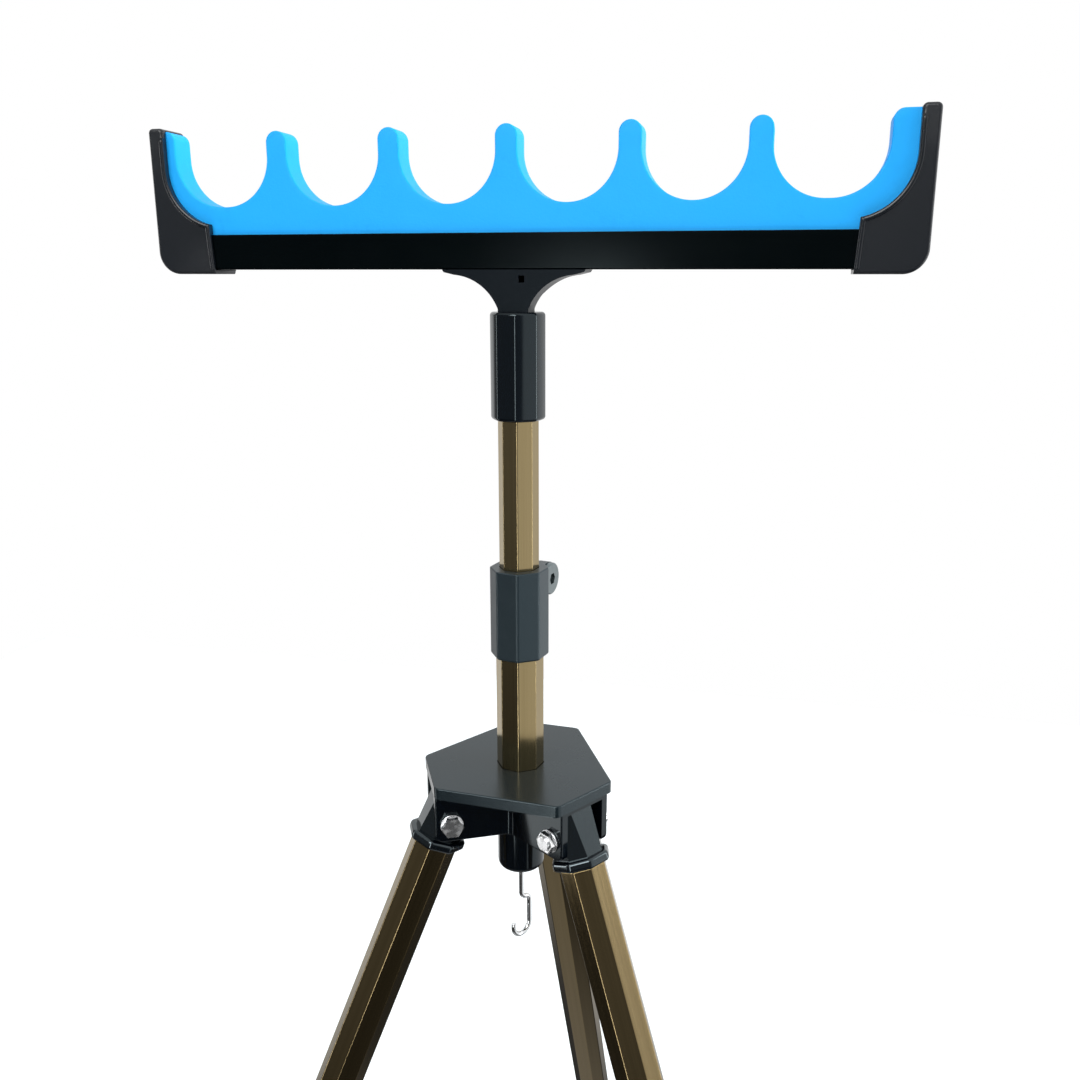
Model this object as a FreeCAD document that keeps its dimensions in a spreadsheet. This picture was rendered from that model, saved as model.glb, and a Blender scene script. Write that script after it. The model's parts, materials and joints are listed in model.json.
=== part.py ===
import FreeCAD, Part
import Sketcher
import math
import os

# Sizes in millimetres and angles in degrees, grouped by sub-assembly
SIZES = {
    "seat_gap": 0.3,
    "run_gap": 0.05,
    "face_gap": 0.1,
    # stance
    "plate_height": 800,
    "splay": 22,
    "leg_turn": 86.5,
    "mast_turn": 32.75,
    "hook_turn": 237,
    # tubes
    "outer_flats": 25,
    "outer_wall": 1.4,
    "outer_corner": 1.5,
    "inner_flats": 20.3,
    "inner_wall": 1.3,
    "inner_corner": 1.2,
    # guide plugs at the ends of the inner tubes
    "plug_round": 11.5,
    "plug_flange": 5,
    "plug_spigot": 10,
    # hub cover
    "short_apothem": 53,
    "long_apothem": 44.5,
    "plate_corner": 4,
    "cover_depth": 6.5,
    "cover_top": 4,
    "cover_wall": 2.4,
    "cover_edge": 0.9,
    "cover_screw_circle": 32,
    "cover_screw": 4,
    "cover_screw_depth": 2.6,
    "cover_screw_head": 7,
    "cover_screw_rise": 2.4,
    # hub spider
    "web_drop": 8.5,
    "arm_half": 18,
    "arm_reach": 52.6,
    "arm_drop": 35.5,
    "arm_bevel": 4.5,
    "ear_edge": 1,
    "valley_round": 6,
    "ear_inside": 13.5,
    "slot_start": 26,
    "seat_drop": 30,
    "boss_radius": 13.6,
    "boss_drop": 66,
    "boss_floor": 6,
    "boss_bore": 11.9,
    "boss_round": 4,
    # hinges
    "hinge_radius": 43.4,
    "hinge_drop": 25,
    "hinge_bolt": 8,
    "hinge_washer": 13,
    "hinge_washer_thick": 1.2,
    "hinge_hex": 10.8,
    "hinge_head": 3.2,
    "hinge_slot": 1.2,
    # hook
    "wire": 2.8,
    "hook_start_drop": 56,
    "hook_bend_drop": 86,
    "hook_bend_rise": 4,
    "hook_half": 6.4,
    "hook_centre_drop": 108,
    "hook_tip_drop": 105,
    "hook_nut_flats": 6,
    "hook_nut_thick": 2.6,
    # mast
    "lower_show": 66.6,
    "upper_show": 81.5,
    "mast_tail": 40,
    # clamp collars
    "collar_length": 51,
    "collar_flats": 30.5,
    "collar_corner": 3,
    "collar_edge": 1.6,
    "collar_step": 24,
    "slit_start": 27,
    "slit_half": 1,
    "lug_half": 7,
    "lug_round": 9.5,
    "lug_root": 12,
    "clamp_bolt_out": 23,
    "clamp_bolt_high": 39,
    "clamp_bolt": 6,
    "clamp_bolt_end": 18,
    "clamp_head": 18.4,
    "clamp_head_thick": 2.6,
    "clamp_head_edge": 0.9,
    "clamp_key_flats": 6,
    "clamp_key_depth": 2,
    # wing nuts, along the bolt and out from it
    "wing_hub": 5.5,
    "wing_hub_end": 4.6,
    "wing_hub_high": 16.5,
    "wing_foot": 9.5,
    "wing_elbow": 11,
    "wing_elbow_high": 14.5,
    "wing_tip": 12,
    "wing_tip_high": 20,
    "wing_top": 8.5,
    "wing_top_high": 21,
    "wing_thick": 3,
    "wing_round": 1.2,
    # head socket
    "socket_length": 56,
    "socket_flats": 27.2,
    "socket_corner": 2.6,
    "socket_bow": 40,
    "socket_edge": 2,
    "socket_bore": 31,
    "socket_room": 19,
    "socket_web": 12,
    # bracket
    "neck_show": 21,
    "flange_half": 37.4,
    "flange_lip": 36.6,
    "flange_thick": 1.3,
    "flange_inner": 31,
    "flange_inner_drop": 2.6,
    "throat_half": 8.05,
    "throat_drop": 19.5,
    "throat_round": 27,
    "web_half": 4.3,
    "web_top_drop": 2.4,
    "web_low_drop": 12.5,
    "web_round": 12.4,
    "neck_radius": 6.8,
    "neck_rise_drop": 16,
    "neck_top_drop": 12.5,
    "neck_round": 10,
    "stem_radius": 6,
    "stem_thread": 5,
    "stem_drop": 46,
    "swivel_flats": 16,
    "swivel_nut_thick": 8,
    "swivel_washer_radius": 9,
    "swivel_washer_thick": 1.5,
    "recess_near": 3,
    "recess_far": 6,
    "recess_top": 2.9,
    "recess_low": 6.4,
    "recess_floor": 4.9,
    # channel
    "channel_half": 190,
    "channel_width": 19,
    "channel_height": 18,
    "channel_wall": 1.6,
    "channel_round": 1.2,
    "rail_screw_at": 24,
    "rail_screw": 4,
    "rail_screw_head": 6.8,
    "rail_screw_length": 3.4,
    # foam rest
    "foam_thick": 15.2,
    "foam_top": 70.5,
    "foam_corner": 3,
    "notch_pitch": 61.6,
    "notch_shift": -3.5,
    "notch_radius": 25.1,
    "notch_end_flat": 2.2,
    "notch_centre": 57.3,
    "post_shoulder": 63.7,
    # end caps
    "cap_reach": 198.2,
    "cap_inner": 189.6,
    "cap_top": 72,
    "cap_top_round": 2.4,
    "cap_bottom": 2.3,
    "cap_outer_round": 11.5,
    "cap_depth": 21.5,
    "cap_band_depth": 22.3,
    "cap_band": 2.6,
    "cap_curve": 29,
    "cap_curve_out": 160.6,
    "cap_curve_high": 51.7,
    "cap_knee": 166.5,
    "cap_foot": 165,
    "cap_edge": 1.6,
    "foam_tuck": 2.3,
    # leg heads, down the leg from the hinge and out from its axis
    "head_half": 13.2,
    "stop_length": 4.6,
    "head_back_high": 14,
    "head_back_out": 6,
    "head_inside": 12.3,
    "head_inside_high": 6,
    "head_back_round": 28,
    "head_outside": 10.6,
    "head_toe": 1,
    "head_shoulder": 13.8,
    "head_skirt": 12.7,
    "head_bevel": 7.6,
    "head_collar_flats": 31.8,
    "head_collar_corner": 4,
    "head_collar_edge": 2.2,
    "head_collar_end": 19.8,
    "head_spigot": 50,
    "head_core": 8,
    # legs
    "leg_collar_at": 445,
    "leg_lower_start": 340,
    "foot_cover": 20,
    "foot_pad": 21,
    "foot_top": 13.4,
    "foot_waist": 14.2,
    "foot_waist_high": 14,
    "foot_radius": 17.5,
    "foot_flare": 6,
    "foot_edge": 1.5,
    "foot_lip": 1.5,
}

doc = FreeCAD.newDocument("Tripod")
sheet = doc.addObject("Spreadsheet::Sheet", "Dims")
for row, (alias, amount) in enumerate(SIZES.items(), start=1):
    sheet.set("A%d" % row, alias)
    sheet.set("B%d" % row, str(amount))
    sheet.setAlias("B%d" % row, alias)
doc.recompute()


class Size:
    """A number together with the sheet formula that gives it."""

    def __init__(self, amount, text):
        self.amount = amount
        self.text = text

    def __add__(self, other):
        other = sized(other)
        return Size(self.amount + other.amount, "(%s + %s)" % (self.text, other.text))

    def __sub__(self, other):
        other = sized(other)
        return Size(self.amount - other.amount, "(%s - %s)" % (self.text, other.text))

    def __mul__(self, other):
        other = sized(other)
        return Size(self.amount * other.amount, "(%s * %s)" % (self.text, other.text))

    def __truediv__(self, other):
        other = sized(other)
        return Size(self.amount / other.amount, "(%s / %s)" % (self.text, other.text))

    def __neg__(self):
        return Size(-self.amount, "(0 - %s)" % self.text)


def sized(item):
    """Let plain factors and counts stand beside sheet sizes."""
    if isinstance(item, Size):
        return item
    return Size(item, repr(item) if item >= 0 else "(0 - %r)" % -item)


def cosine(angle):
    angle = sized(angle)
    return Size(math.cos(math.radians(angle.amount)), "cos(%s)" % angle.text)


def sine(angle):
    angle = sized(angle)
    return Size(math.sin(math.radians(angle.amount)), "sin(%s)" % angle.text)


def tangent(angle):
    angle = sized(angle)
    return Size(math.tan(math.radians(angle.amount)), "tan(%s)" % angle.text)


def arcsine(item):
    return Size(math.degrees(math.asin(item.amount)), "(asin(%s) / 1 deg)" % item.text)


def root(item):
    return Size(math.sqrt(item.amount), "sqrt(%s)" % item.text)


class Sheet:
    """Sheet sizes by their alias."""

    def __getattr__(self, alias):
        return Size(float(SIZES[alias]), "Dims.%s" % alias)


d = Sheet()
ZERO = sized(0)
LEGS = (("left", 120), ("right", -120), ("rear", 0))
SIDES = 8
STEP = 360 / SIDES
PIECES = []


def place(x, y, z, axis="0; 0; 1", angle=0):
    """Placement formula for a shift followed by a turn about an axis."""
    shift = "vector(%s; %s; %s)" % (sized(x).text, sized(y).text, sized(z).text)
    return "placement(%s; rotation(vector(%s); %s))" % (shift, axis, sized(angle).text)


def body(name, where):
    """Start one separate piece in its own frame."""
    made = doc.addObject("PartDesign::Body", name)
    made.Label = name
    made.setExpression("Placement", where)
    PIECES.append(made)
    return made


def held_point(item, end, x, y):
    """Constraints, each with its formula, that hold a sketch point off the origin."""
    held = []
    for kind, axis, amount in (("DistanceX", -2, x), ("DistanceY", -1, y)):
        if amount.text == "0":
            held.append((Sketcher.Constraint("PointOnObject", item, end, axis), None))
        else:
            held.append((Sketcher.Constraint(kind, -1, 1, item, end, amount.amount), amount.text))
    return held


def arc(start, end, radius):
    """Short arc between two corners, its centre on the left for a positive radius."""
    half_x = (end[0] - start[0]) / 2
    half_y = (end[1] - start[1]) / 2
    half = math.hypot(half_x, half_y)
    rise = math.sqrt(max(radius * radius - half * half, 0))
    if radius < 0:
        rise = -rise
    centre_x = start[0] + half_x - rise * half_y / half
    centre_y = start[1] + half_y + rise * half_x / half
    circle = Part.Circle()
    circle.Center = FreeCAD.Vector(centre_x, centre_y, 0)
    circle.Radius = abs(radius)
    first = math.atan2(start[1] - centre_y, start[0] - centre_x)
    last = math.atan2(end[1] - centre_y, end[0] - centre_x)
    if radius > 0:
        return Part.ArcOfCircle(circle, first, last), 1, 2
    return Part.ArcOfCircle(circle, last, first), 2, 1


def draw(piece, plane, loops, offset=ZERO, closed=True):
    """Draw loops of corners (x, y[, arc radius to the next corner]) or circles (x, y, radius)."""
    sketch = piece.newObject("Sketcher::SketchObject", "Sketch")
    support = [item for item in piece.Origin.OriginFeatures if item.Role == plane][0]
    sketch.AttachmentSupport = (support, "")
    sketch.MapMode = "FlatFace"
    if offset.text != "0":
        sketch.setExpression(".AttachmentOffset.Base.z", offset.text)
    held = []
    for loop in loops:
        if isinstance(loop, tuple):
            x, y, radius = (sized(item) for item in loop)
            centre = FreeCAD.Vector(x.amount, y.amount, 0)
            item = sketch.addGeometry(Part.Circle(centre, FreeCAD.Vector(0, 0, 1), radius.amount), False)
            held += held_point(item, 3, x, y)
            held.append((Sketcher.Constraint("Radius", item, radius.amount), radius.text))
            continue
        corners = [tuple(sized(item) for item in corner) for corner in loop]
        ends = []
        count = len(corners) if closed else len(corners) - 1
        for number in range(count):
            here = corners[number]
            after = corners[(number + 1) % len(corners)]
            start = (here[0].amount, here[1].amount)
            end = (after[0].amount, after[1].amount)
            if len(here) > 2:
                shape, first, last = arc(start, end, here[2].amount)
                item = sketch.addGeometry(shape, False)
                radius = here[2] if here[2].amount > 0 else -here[2]
                held.append((Sketcher.Constraint("Radius", item, radius.amount), radius.text))
            else:
                first, last = 1, 2
                line = Part.LineSegment(FreeCAD.Vector(*start, 0), FreeCAD.Vector(*end, 0))
                item = sketch.addGeometry(line, False)
            ends.append((item, first, last))
        for number in range(count):
            item, first, last = ends[number]
            held += held_point(item, first, corners[number][0], corners[number][1])
            if closed or number + 1 < count:
                beside = ends[(number + 1) % count]
                held.append((Sketcher.Constraint("Coincident", item, last, beside[0], beside[1]), None))
            else:
                held += held_point(item, last, corners[-1][0], corners[-1][1])
    sketch.addConstraint([constraint for constraint, formula in held])
    for number, (constraint, formula) in enumerate(held):
        if formula:
            sketch.setExpression("Constraints[%d]" % number, formula)
    return sketch


def feature(piece, kind, sketch, **settings):
    """Add a sketch-based feature, binding each size setting to its formula."""
    made = piece.newObject("PartDesign::" + kind, kind)
    made.Profile = sketch
    for name, setting in settings.items():
        if isinstance(setting, Size):
            made.setExpression(name, setting.text)
        else:
            setattr(made, name, setting)
    sketch.Visibility = False
    sketch.recompute()
    made.recompute()
    return made


def pad(piece, plane, loops, length, offset=ZERO, midplane=False):
    return feature(piece, "Pad", draw(piece, plane, loops, offset), Length=length, Midplane=midplane)


def pocket(piece, plane, loops, length, offset=ZERO, midplane=False, up=False):
    """Cut below the sketch, above it with up, or to both sides with midplane."""
    sketch = draw(piece, plane, loops, offset)
    return feature(piece, "Pocket", sketch, Length=length, Midplane=midplane, Reversed=up)


def revolve(piece, loop, kind="Revolution"):
    """Turn a profile of (radius, height) corners about the piece's upright axis."""
    sketch = draw(piece, "XZ_Plane", [loop])
    return feature(piece, kind, sketch, ReferenceAxis=(sketch, ["V_Axis"]), Angle=360.0)


def around(piece, originals, count):
    """Repeat features about the piece's upright axis."""
    made = piece.newObject("PartDesign::PolarPattern", "PolarPattern")
    made.Originals = originals
    axis = [item for item in piece.Origin.OriginFeatures if item.Role == "Z_Axis"][0]
    made.Axis = (axis, [""])
    made.Angle = 360
    made.Occurrences = count
    piece.Tip = made
    made.recompute()
    return made


def dress(piece, kind, amount, test):
    """Round or bevel the edges whose middle point and ends pass a test."""
    base = piece.Tip
    names = []
    for number, edge in enumerate(base.Shape.Edges, start=1):
        middle = edge.valueAt((edge.FirstParameter + edge.LastParameter) / 2)
        if test(edge, middle):
            names.append("Edge%d" % number)
    if not names:
        raise RuntimeError("no edges to dress on " + piece.Label)
    made = piece.newObject("PartDesign::" + kind, kind)
    made.Base = (base, names)
    made.setExpression("Radius" if kind == "Fillet" else "Size", amount.text)
    made.recompute()
    return made


def cone(piece, kind, low, high, height, x):
    """Upright cone from its foot at height zero, beside the piece's axis."""
    made = piece.newObject("PartDesign::%sCone" % kind, kind + "Cone")
    plane = [item for item in piece.Origin.OriginFeatures if item.Role == "XY_Plane"][0]
    made.AttachmentSupport = (plane, "")
    made.MapMode = "FlatFace"
    made.setExpression(".AttachmentOffset.Base.x", x.text)
    for name, amount in (("Radius1", low), ("Radius2", high), ("Height", height)):
        made.setExpression(name, amount.text)
    made.recompute()
    return made


def near(first, second):
    """Equal within a share of the seat gap."""
    return abs(first - second) < SIZES["seat_gap"] / SIDES / SIDES


def level(height):
    """Test for edges lying flat at one height."""
    return lambda edge, middle: near(edge.BoundBox.ZMin, height.amount) and near(
        edge.BoundBox.ZMax, height.amount)


def octagon(flats, corner, turn=ZERO, bow=None):
    """Eight-sided loop with rounded corners and, with bow, swelling sides that run into them."""
    half = flats / 2
    side = (half - corner) * tangent(STEP / 2)
    bend = corner
    if bow is not None:
        bend = corner * sine(STEP / 2) / sine(sized(STEP / 2) - arcsine(side / bow))
    loop = []
    for number in range(SIDES):
        facing = turn + STEP * number
        across, up = cosine(facing), sine(facing)
        first = (half * across + side * up, half * up - side * across)
        last = (half * across - side * up, half * up + side * across)
        loop.append(first if bow is None else first + (bow,))
        loop.append(last + (bend,))
    return loop


def hexagon(inset=ZERO, corner=d.plate_corner):
    """Six-sided loop with short sides across the legs."""
    loop = []
    for number in range(6):
        facing = 60 * number
        near_side = (d.short_apothem if number % 2 == 0 else d.long_apothem) - inset
        far_side = (d.long_apothem if number % 2 == 0 else d.short_apothem) - inset
        side = (far_side - near_side * cosine(60)) / sine(60) - corner * tangent(30)
        across, up = cosine(facing), sine(facing)
        loop.append((near_side * across + side * up, near_side * up - side * across))
        loop.append((near_side * across - side * up, near_side * up + side * across, corner))
    return loop


def polygon(flats, sides, x=ZERO, y=ZERO):
    """Regular loop by its width across flats."""
    reach = flats / 2 / cosine(180 / sides)
    return [(x + reach * cosine(360 * number / sides), y + reach * sine(360 * number / sides))
            for number in range(sides)]


def box(x_low, x_high, y_low, y_high):
    return [(x_low, y_low), (x_high, y_low), (x_high, y_high), (x_low, y_high)]


def polar(radius, angle):
    return radius * cosine(angle), radius * sine(angle)


# Frames of the sub-assemblies
hub = place(0, 0, d.plate_height, angle=d.leg_turn)
mast = place(0, 0, d.plate_height, angle=d.mast_turn)
mast_collar = place(0, 0, d.plate_height + d.lower_show, angle=d.mast_turn + STEP)
socket_height = d.plate_height + d.lower_show + d.collar_length + d.upper_show
socket_frame = place(0, 0, socket_height, angle=d.mast_turn)
rail_height = socket_height + d.socket_length + d.neck_show
rail = place(0, 0, rail_height)
leg_length = (d.plate_height - d.hinge_drop) / cosine(d.splay)


def leg_frame(turn):
    """Frame on a hinge: x outward from the leg's axis, y along the hinge, z up the leg."""
    swing = place(d.hinge_radius, 0, d.plate_height - d.hinge_drop, "0; 1; 0", -d.splay)
    return place(0, 0, 0, angle=d.leg_turn + turn) + " * " + swing


def leg_collar_frame(turn):
    return leg_frame(turn) + " * " + place(0, 0, -d.leg_collar_at, "1; 0; 0", 180)


def make_cover():
    """Hub cover plate with a rim round the web and blind screw holes underneath."""
    piece = body("hub_plate", hub)
    pad(piece, "XY_Plane", [hexagon()], d.cover_depth, -d.cover_depth)
    dress(piece, "Fillet", d.cover_edge, level(ZERO))
    pocket(piece, "XY_Plane", [hexagon(d.cover_wall)], d.cover_depth, -d.cover_top)
    seat = octagon(d.outer_flats + d.seat_gap * 2, d.outer_corner, d.mast_turn - d.leg_turn)
    pocket(piece, "XY_Plane", [seat], d.cover_depth)
    holes = [polar(d.cover_screw_circle, 60 + 120 * number) + (d.cover_screw / 2 + d.face_gap,)
             for number in range(3)]
    pocket(piece, "XY_Plane", holes, d.cover_depth, d.cover_screw_depth + d.face_gap - d.cover_top)


def arm_point(along, aside, facing):
    """Point on an arm, out along it and aside from its middle."""
    across, up = cosine(facing), sine(facing)
    return along * across - aside * up, along * up + aside * across


def make_spider():
    """Spider casting: web, three pairs of ears, mast seat and round boss."""
    piece = body("hub_spider", hub)
    inset = d.cover_wall + d.seat_gap
    pad(piece, "XY_Plane", [hexagon(inset)], d.web_drop - d.cover_top, -d.web_drop)
    star = []
    valley = d.arm_half / tangent(60) + d.valley_round * tangent(30)
    for facing in (0, 120, 240):
        star.append(arm_point(valley, -d.arm_half, facing))
        star.append(arm_point(d.arm_reach, -d.arm_half, facing))
        star.append(arm_point(d.arm_reach, d.arm_half, facing))
        star.append(arm_point(valley, d.arm_half, facing) + (-d.valley_round,))
    top = d.cover_depth + d.seat_gap
    pad(piece, "XY_Plane", [star], d.arm_drop - top, -d.arm_drop)
    slot = box(d.slot_start, d.arm_reach * 2, -d.ear_inside, d.ear_inside)
    cut = pocket(piece, "XY_Plane", [slot], d.arm_drop, -d.web_drop)
    around(piece, [cut], 3)

    def ear_corner(edge, middle):
        """Outer lower corners of the ears."""
        far = math.hypot(middle.x, middle.y) > d.arm_reach.amount
        short = edge.Length < d.arm_half.amount / 2
        return level(-d.arm_drop)(edge, middle) and far and short

    dress(piece, "Fillet", d.arm_bevel, ear_corner)

    def ear_rim(edge, middle):
        """Upright outer edges of the ears, which lead on round their corners and along their feet."""
        far = math.hypot(middle.x, middle.y) > math.hypot(d.arm_reach.amount, d.ear_inside.amount) + 1
        return far and near(edge.BoundBox.XLength + edge.BoundBox.YLength, 0) and middle.z < -top.amount

    dress(piece, "Fillet", d.ear_edge, ear_rim)
    pin = pocket(piece, "XZ_Plane", [(d.hinge_radius, -d.hinge_drop, d.hinge_bolt / 2 + d.face_gap * 2)],
                 d.arm_half * 3, midplane=True)
    around(piece, [pin], 3)
    low = -d.boss_drop
    boss = [(ZERO, low), (d.boss_radius - d.boss_round, low, d.boss_round),
            (d.boss_radius, low + d.boss_round), (d.boss_radius, -d.web_drop), (ZERO, -d.web_drop)]
    revolve(piece, boss)
    seat = octagon(d.outer_flats + d.seat_gap * 2, d.outer_corner, d.mast_turn - d.leg_turn)
    pocket(piece, "XY_Plane", [seat], d.seat_drop)
    pocket(piece, "XY_Plane", [(0, 0, d.boss_bore)], d.boss_drop - d.boss_floor)
    pocket(piece, "XY_Plane", [(0, 0, d.wire / 2 + d.face_gap)], d.boss_drop * 2)
    holes = [polar(d.cover_screw_circle, 60 + 120 * number) + (d.cover_screw / 2 + d.face_gap * 2,)
             for number in range(3)]
    pocket(piece, "XY_Plane", holes, d.web_drop + d.face_gap)


def make_cover_screws():
    """Three pan-head screws up through the web into the cover."""
    piece = body("hub_screws", hub)
    x, y = polar(d.cover_screw_circle, 60)
    top = d.cover_screw_depth - d.cover_top
    shank = pad(piece, "XY_Plane", [(x, y, d.cover_screw / 2)], d.web_drop + top, -d.web_drop)
    low = -d.web_drop - d.cover_screw_rise
    head = pad(piece, "XY_Plane", [(x, y, d.cover_screw_head / 2)], d.cover_screw_rise, low)
    slot = box(x - d.hinge_slot / 2, x + d.hinge_slot / 2, y - d.cover_screw_head, y + d.cover_screw_head)
    cut = pocket(piece, "XY_Plane", [slot], d.cover_screw_rise / 2, low, up=True)
    around(piece, [shank, head, cut], 3)


def make_hinge_sets():
    """Hinge bolts, washers and nuts, one set across each pair of ears."""
    x, z = d.hinge_radius, -d.hinge_drop
    face = d.arm_half + d.hinge_washer_thick
    end = face + d.hinge_head
    bolts = body("hinge_bolts", hub)
    shank = pad(bolts, "XZ_Plane", [(x, z, d.hinge_bolt / 2)], (end + d.hinge_washer_thick) * 2,
                midplane=True)
    trim = pocket(bolts, "XZ_Plane", [(x, z, d.hinge_bolt)], end, -face)
    head = pad(bolts, "XZ_Plane", [polygon(d.hinge_hex, 6, x, z)], d.hinge_head, -end)
    around(bolts, [shank, trim, head], 3)
    washers = body("hinge_washers", hub)
    ring = [(x, z, d.hinge_washer / 2), (x, z, d.hinge_bolt / 2 + d.face_gap)]
    first = pad(washers, "XZ_Plane", [*ring], d.hinge_washer_thick, d.arm_half)
    second = pad(washers, "XZ_Plane", [*ring], d.hinge_washer_thick, -face)
    around(washers, [first, second], 3)
    nuts = body("hinge_nuts", hub)
    outline = [polygon(d.hinge_hex, 6, x, z), (x, z, d.hinge_bolt / 2 + d.face_gap)]
    nut = pad(nuts, "XZ_Plane", outline, d.hinge_head, face)
    around(nuts, [nut], 3)


def make_hook():
    """Wire hook through the boss floor, with its nut inside the boss."""
    frame = place(0, 0, d.plate_height, angle=d.hook_turn)
    piece = body("ballast_hook", frame)
    half = d.hook_half / 2
    bend = (d.hook_bend_rise * d.hook_bend_rise + half * half) / half / 2
    low = -d.hook_bend_drop
    path = [(ZERO, -d.hook_start_drop), (ZERO, low, -bend), (-half, low - d.hook_bend_rise, bend),
            (-d.hook_half, low - d.hook_bend_rise * 2), (-d.hook_half, -d.hook_centre_drop, d.hook_half),
            (ZERO, -d.hook_centre_drop - d.hook_half, d.hook_half),
            (d.hook_half, -d.hook_centre_drop), (d.hook_half, -d.hook_tip_drop)]
    spine = draw(piece, "XZ_Plane", [path], closed=False)
    profile = draw(piece, "XY_Plane", [(0, 0, d.wire / 2)], -d.hook_start_drop)
    feature(piece, "AdditivePipe", profile, Spine=(spine, []))
    nut = body("hook_nut", frame)
    outline = [polygon(d.hook_nut_flats, 6), (0, 0, d.wire / 2 + d.face_gap)]
    pad(nut, "XY_Plane", outline, d.hook_nut_thick, d.boss_floor - d.boss_drop)


def tube(name, frame, flats, wall, corner, low, high):
    """Eight-sided tube between two heights of its frame."""
    piece = body(name, frame)
    loops = [octagon(flats, corner), octagon(flats - wall * 2, corner / 2)]
    pad(piece, "XY_Plane", loops, high - low, low)
    return piece


def plug(name, frame, end, up):
    """Guide plug on a tube end, its spigot running up or down into the tube."""
    piece = body(name, frame)
    flats = d.outer_flats - (d.outer_wall + d.seat_gap) * 2
    low = end - d.plug_flange if up else end
    pad(piece, "XY_Plane", [octagon(flats, d.inner_corner)], d.plug_flange, low)
    ring = [(0, 0, d.outer_flats), (0, 0, d.plug_round)]
    pocket(piece, "XY_Plane", ring, d.plug_flange, low + d.plug_flange)
    spigot = octagon(d.inner_flats - (d.inner_wall + d.face_gap) * 2, d.inner_corner / 2)
    pad(piece, "XY_Plane", [spigot], d.plug_spigot, end if up else end - d.plug_spigot)


def make_mast():
    """Lower and upper mast tubes with the guide plug."""
    tube("mast_lower_tube", mast, d.outer_flats, d.outer_wall, d.outer_corner,
         -d.seat_drop, d.lower_show + d.collar_step)
    low = d.lower_show - d.mast_tail
    high = d.lower_show + d.collar_length + d.upper_show + d.socket_bore
    tube("mast_upper_tube", mast, d.inner_flats, d.inner_wall, d.inner_corner, low, high)
    plug("mast_guide_plug", mast, low, True)


def make_clamp(prefix, frame):
    """Clamp collar with split lugs, its bolt and its wing nut; z runs towards the thin tube."""
    piece = body(prefix + "collar", frame)
    pad(piece, "XY_Plane", [octagon(d.collar_flats, d.collar_corner)], d.collar_length)
    dress(piece, "Fillet", d.collar_edge, level(ZERO))
    dress(piece, "Fillet", d.collar_edge / 2, level(d.collar_length))
    out, high = d.clamp_bolt_out, d.clamp_bolt_high
    lug = [(d.lug_root, high - d.lug_round), (out, high - d.lug_round, d.lug_round),
           (out + d.lug_round, high, d.lug_round), (out, high + d.lug_round),
           (d.lug_root, high + d.lug_round)]
    pad(piece, "XZ_Plane", [lug], d.lug_half * 2, midplane=True)
    wide = octagon(d.outer_flats + d.seat_gap * 2, d.outer_corner)
    pocket(piece, "XY_Plane", [wide], d.collar_step, up=True)
    thin = octagon(d.inner_flats + d.seat_gap * 2, d.inner_corner)
    pocket(piece, "XY_Plane", [thin], d.collar_length * 2, up=True)
    slit = box(ZERO, out * 2, -d.slit_half, d.slit_half)
    pocket(piece, "XY_Plane", [slit], d.collar_length, d.slit_start, up=True)
    hole = [(out, high, d.clamp_bolt / 2 + d.face_gap)]
    pocket(piece, "XZ_Plane", hole, d.collar_flats, midplane=True)

    bolt = body(prefix + "clamp_bolt", frame)
    pad(bolt, "XZ_Plane", [(out, high, d.clamp_head / 2)], d.clamp_head_thick, d.lug_half)
    outer = -d.lug_half - d.clamp_head_thick
    dress(bolt, "Fillet", d.clamp_head_edge,
          lambda edge, middle: near(edge.BoundBox.YMax, outer.amount))
    key = polygon(d.clamp_key_flats, 6, out, high)
    pocket(bolt, "XZ_Plane", [key], d.clamp_key_depth, d.lug_half + d.clamp_head_thick)
    pad(bolt, "XZ_Plane", [(out, high, d.clamp_bolt / 2)], d.lug_half + d.clamp_bolt_end,
        -d.clamp_bolt_end)

    nut = body(prefix + "wing_nut", frame + " * " + place(out, 0, high, "1; 0; 0", -90))
    low = d.lug_half + d.face_gap
    hub_loop = [(ZERO, low), (d.wing_hub, low), (d.wing_hub_end, d.wing_hub_high), (ZERO, d.wing_hub_high)]
    revolve(nut, hub_loop)
    wings = [(-d.wing_hub_end, d.wing_foot), (d.wing_hub_end, d.wing_foot),
             (d.wing_elbow, d.wing_elbow_high), (d.wing_tip, d.wing_tip_high),
             (d.wing_top, d.wing_top_high), (d.wing_hub_end, d.wing_hub_high),
             (-d.wing_hub_end, d.wing_hub_high), (-d.wing_top, d.wing_top_high),
             (-d.wing_tip, d.wing_tip_high), (-d.wing_elbow, d.wing_elbow_high)]
    pad(nut, "XZ_Plane", [wings], d.wing_thick, midplane=True)
    pocket(nut, "XY_Plane", [(0, 0, d.clamp_bolt / 2 + d.run_gap)], d.wing_top_high * 2, midplane=True)
    dress(nut, "Fillet", d.wing_round,
          lambda edge, middle: abs(middle.x) > d.wing_top.amount and near(abs(middle.y), d.wing_thick.amount / 2))


def make_socket():
    """Eight-sided socket with swelling sides, on top of the mast."""
    piece = body("head_socket", socket_frame)
    outline = octagon(d.socket_flats, d.socket_corner, bow=d.socket_bow)
    pad(piece, "XY_Plane", [outline], d.socket_length)
    dress(piece, "Fillet", d.socket_edge, level(ZERO))
    dress(piece, "Fillet", d.socket_edge, level(d.socket_length))
    bore = octagon(d.inner_flats + d.seat_gap * 2, d.inner_corner)
    pocket(piece, "XY_Plane", [bore], d.socket_bore, up=True)
    pocket(piece, "XY_Plane", [(0, 0, d.socket_room / 2)], d.socket_length - d.socket_web, up=True)
    pocket(piece, "XY_Plane", [(0, 0, d.stem_radius + d.run_gap)], d.socket_length * 2, up=True)


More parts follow.
